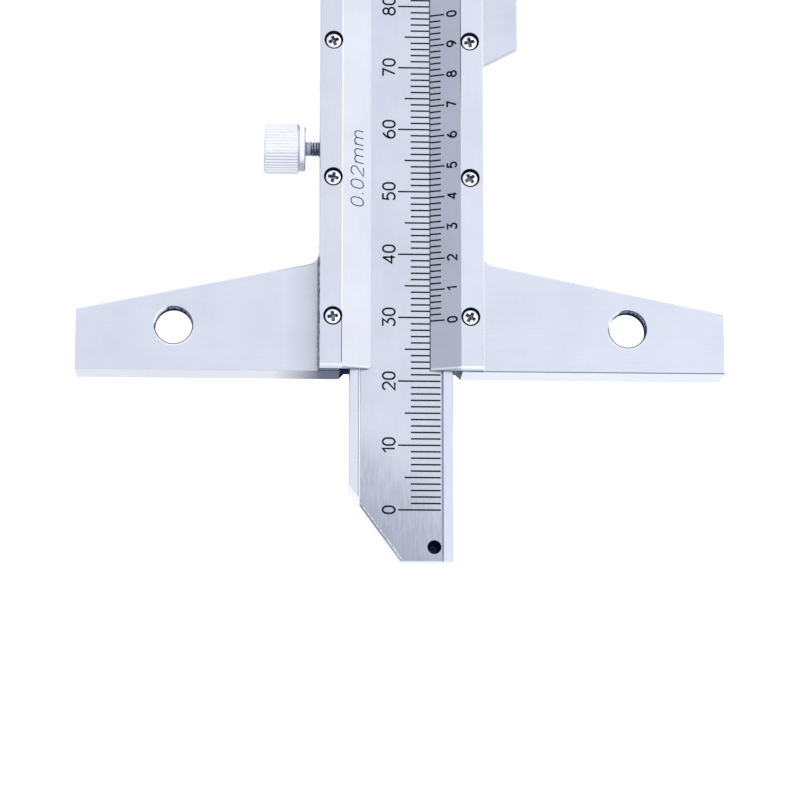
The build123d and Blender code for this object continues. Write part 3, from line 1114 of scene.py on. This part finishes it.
def plate_edge_coats(on_right, low, high):
    """Painted shadow along a plate's left edge, and a painted highlight on the right plate's outer edge.
    """
    if on_right:
        # Painted shadow along the vernier plate's edge over the scale, and a painted highlight on its
        # outer edge.
        over_scale = between("X", low.x - 0.1, low.x + 0.14)
        outer_edge = between("X", high.x - 0.08, high.x)
        return [(over_scale, grey(0.1, 3)), (outer_edge, HIGHLIGHT_WHITE)]
    # Painted shadow on the left plate's side beside the arm.
    beside_arm = overlap(between("X", low.x - 0.1, low.x + 0.12), below("Y", 10.5))
    return [(speckled(beside_arm, (0.3, 1.0, 0.3), 0.6), grey(0.12, 2))]


def plate_finish(name, node, screws, flat_tone, bevel_tone, bevel_gloss, shade_line):
    """A satin plate: a tone of its own on the bevel, far darker on the vernier plate as painted shade,
    painted highlights on the ridge and the foot's chamfer, matt painted tones on the foot's end face,
    darker under the bevel and low down as painted shade, and painted shade in the counterbores.

    shade_line is the part of the ridge that has a painted dark reflection instead of a painted
    highlight: two places along Y, and how far it fades out.
    """
    low, high = box_mm(node)
    on_right = high.x > 0
    if on_right:
        ridge, ridge_tone, chamfer_start = high.x - PLATE_FLAT_WIDTH, 0.8, 0.08
        flat, bevel = rising(ALONG_X, ridge, ridge + 0.05), between("X", 0, ridge)
    else:
        ridge, ridge_tone, chamfer_start = low.x + PLATE_FLAT_WIDTH, 1.0, 0.26
        flat, bevel = below("X", ridge), between("X", ridge, 0)
    first, last, fade = shade_line
    dark_ridge = overlap(between("X", ridge - 0.1, ridge + 0.03), between("Y", first, last, soft=fade))
    bright_ridge = between("X", ridge - 0.06, ridge + 0.06)
    foot = below("Y", low.y + FACE_SKIN)
    low_down = rising(ALONG_Z, low.z + 0.95, low.z + 0.6)
    on_plate = rising(ALONG_Z, low.z - 1, low.z)
    chamfer = between("Y", low.y + chamfer_start, low.y + 0.36)
    zones = [
        (bevel, bevel_tone, bevel_gloss),
        # Painted highlights on the ridge and on the foot's chamfer.
        (bright_ridge, grey(ridge_tone, 0.5), -0.05),
        (overlap(chamfer, flat), grey(1.0, 0.4), 0),
        (overlap(chamfer, bevel), grey(0.8, 0.5), 0),
    ]
    # Matt painted tones on the foot, darker under the bevel and low down as painted shade, and a painted
    # dark reflection on part of the ridge.
    coats = [
        (overlap(foot, flat), grey(0.78, 1.2)),
        (overlap(foot, bevel), grey(0.5, 1.5)),
        (overlap(foot, low_down, on_plate), grey(0.3, 1.5)),
        (dark_ridge, grey(0.1, 3)),
    ]
    # Painted shade in the counterbores.
    coats += [(in_hole(x, y, COUNTERBORE_RADIUS), DARK) for x, y in screw_places(screws)]
    coats += plate_edge_coats(on_right, low, high)
    return steel(name, flat_tone, 0.24, GRAIN_Y, 0.035, zones, coats)


def knob_finish():
    """Satin chrome, with painted shade in the knurl, on the sides facing up and down Y, at the outer end
    and at the collar.
    """
    low, high = box_mm("lock_knob")
    middle = (low + high) / 2
    radius = (high.y - low.y) / 2
    shoulder = high.x - COLLAR_LENGTH
    barrel = below("X", shoulder)
    collar = rising(ALONG_X, shoulder - 0.05, shoulder + 0.05)
    inner_chamfer = between("X", shoulder - 0.42, shoulder)
    outer_end = below("X", low.x + 0.42)
    rim = between("X", high.x - 0.12, high.x + 0.1)
    near_axis = near_line((0, 1, 1), (0, middle.y, middle.z), radius - KNURL_DEPTH * 0.6, soft=0.05)
    groove = overlap(barrel, near_axis)
    over = rising(ALONG_Y, middle.y + 1.5, middle.y + 4.0)
    upper = rising(ALONG_Y, middle.y + 1.5, middle.y + 2.4)
    low_side = rising(ALONG_Y, middle.y - 1.1, middle.y - 2.4)
    under = rising(ALONG_Y, middle.y - 2.8, middle.y - 4.2)
    collar_under = rising(ALONG_Y, middle.y - 2.0, middle.y - 3.6)
    # Every zone and coat of the knob is painted shade: the knurl, the sides up and down Y, the outer end
    # and the collar.
    zones = [
        (over, SHADED_CHROME, 0),
        (outer_end, SHADED_CHROME, 0),
        (overlap(barrel, under), SHADED_CHROME, 0),
        (speckled(groove, (1.0, 0.25, 0.25), 0.9), grey(0.8, 0.5), 0.05),
        (overlap(groove, low_side), grey(0.6), 0.05),
        (overlap(collar, collar_under), grey(0.34), 0),
    ]
    # On the inner chamfer, upper is taken twice so that the shade comes in slowly.
    coats = [
        (overlap(inner_chamfer, upper, upper), grey(0.5)),
        (overlap(rim, upper), grey(0.08, 3)),
        (overlap(rim, low_side), grey(0.2, 2)),
    ]
    return steel("knob_chrome", CHROME, 0.3, (0.6, 0.12, 0.12), 0.08, zones, coats)


def finishes(nodes):
    """One finish for each CAD node that stays."""
    left = ("left_cover_plate", "left_plate_screws")
    right = ("vernier_plate", "vernier_plate_screws")
    looks = {
        "slider_body": body_finish(),
        "beam": beam_finish(),
        # The vernier plate's much darker bevel tone is painted shade.
        left[0]: plate_finish("plate_steel", *left, grey(0.69), grey(0.67, 0.8), 0.02, LEFT_RIDGE_SHADE),
        right[0]: plate_finish("vernier_steel", *right, grey(0.71), grey(0.54, 1.35), 0.1, RIGHT_RIDGE_SHADE),
        "lock_knob": knob_finish(),
        "beam_stop_pin": steel("pin_steel", grey(0.5), 0.25, (0.1, 0.1, 1.0)),
        "gib_strip": yellow_metal("gib_bronze", (0.62, 0.4, 0.22, 1), (0.4, 0.24, 0.13, 1), 0.3),
        "clamp_pad": yellow_metal("pad_brass", (0.8, 0.6, 0.28, 1), (0.55, 0.38, 0.16, 1), 0.25),
    }
    for node, material in looks.items():
        for slot in nodes[node].material_slots:
            slot.material = material


def screw_finish():
    """Bright crowned heads, with painted shade down in the recess and round the side, broken by a few
    glints.
    """
    top = box_mm("left_plate_screws")[1].z
    down = below("Z", top - HEAD_CROWN - 0.05)
    # Painted shade down in the recess and round the head's side, speckled so a few glints stay.
    zones = [(down, grey(0.3, 1.5), 0.1)]
    coats = [(speckled(down, (0.3, 0.3, 0.3), 0.9), DARK)]
    return steel("screw_chrome", HIGHLIGHT_WHITE, 0.2, (0.3, 0.3, 0.3), 0.05, zones, coats)


def stud_finish():
    """Steel, darker on the neck, with painted shade down in the thread, beside the knob and on the side
    that faces the base.
    """
    low, high = box_mm("lock_stud")
    middle = (low + high) / 2
    radius = (high.y - low.y) / 2
    neck_start = low.x + STUD_IN_KNOB
    neck_end = neck_start + NECK_LENGTH
    near_root = near_line((0, 1, 1), (0, middle.y, middle.z), radius - 0.18, soft=0.06)
    on_thread = rising(ALONG_X, neck_end - 0.1, neck_end)
    neck = between("X", neck_start, neck_end - 0.05)
    beside_knob = between("X", neck_start - 0.1, neck_start + 0.15)
    base_side = rising(ALONG_Y, middle.y + 0.3, middle.y - 0.9)
    # The neck darker, and painted shade on the side that faces the base.
    zones = [
        (neck, grey(0.45, 1.5), 0.05),
        (base_side, grey(0.3, 2), 0.05),
    ]
    # Painted shade down in the thread's roots and beside the knob.
    coats = [
        (overlap(near_root, on_thread), grey(0.03, 4)),
        (beside_knob, grey(0.05, 4)),
    ]
    return steel("stud_steel", grey(0.85), 0.22, (0.1, 0.3, 0.3), 0.1, zones, coats)


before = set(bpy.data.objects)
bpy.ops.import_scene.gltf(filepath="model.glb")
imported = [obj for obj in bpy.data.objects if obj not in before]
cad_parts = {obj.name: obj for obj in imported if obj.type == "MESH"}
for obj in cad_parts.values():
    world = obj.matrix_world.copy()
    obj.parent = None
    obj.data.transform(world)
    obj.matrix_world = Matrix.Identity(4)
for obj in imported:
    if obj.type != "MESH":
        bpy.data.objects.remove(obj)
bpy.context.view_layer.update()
view_settings()
camera()
room_light()
table()
finishes(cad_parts)
scale_ink = ink("scale_ink", 0.008)
main_scale(scale_ink)
vernier_scale(scale_ink)
graduation_value(ink("value_ink", 0.06))
screw_chrome = screw_finish()
plate_screws("left_plate_screws", "left_plate_cross_screws", LEFT_SCREW_TURNS, screw_chrome)
plate_screws("vernier_plate_screws", "vernier_plate_cross_screws", RIGHT_SCREW_TURNS, screw_chrome)
dark_steel = stud_finish()
lock_stud(dark_steel)
gib_screws(dark_steel)
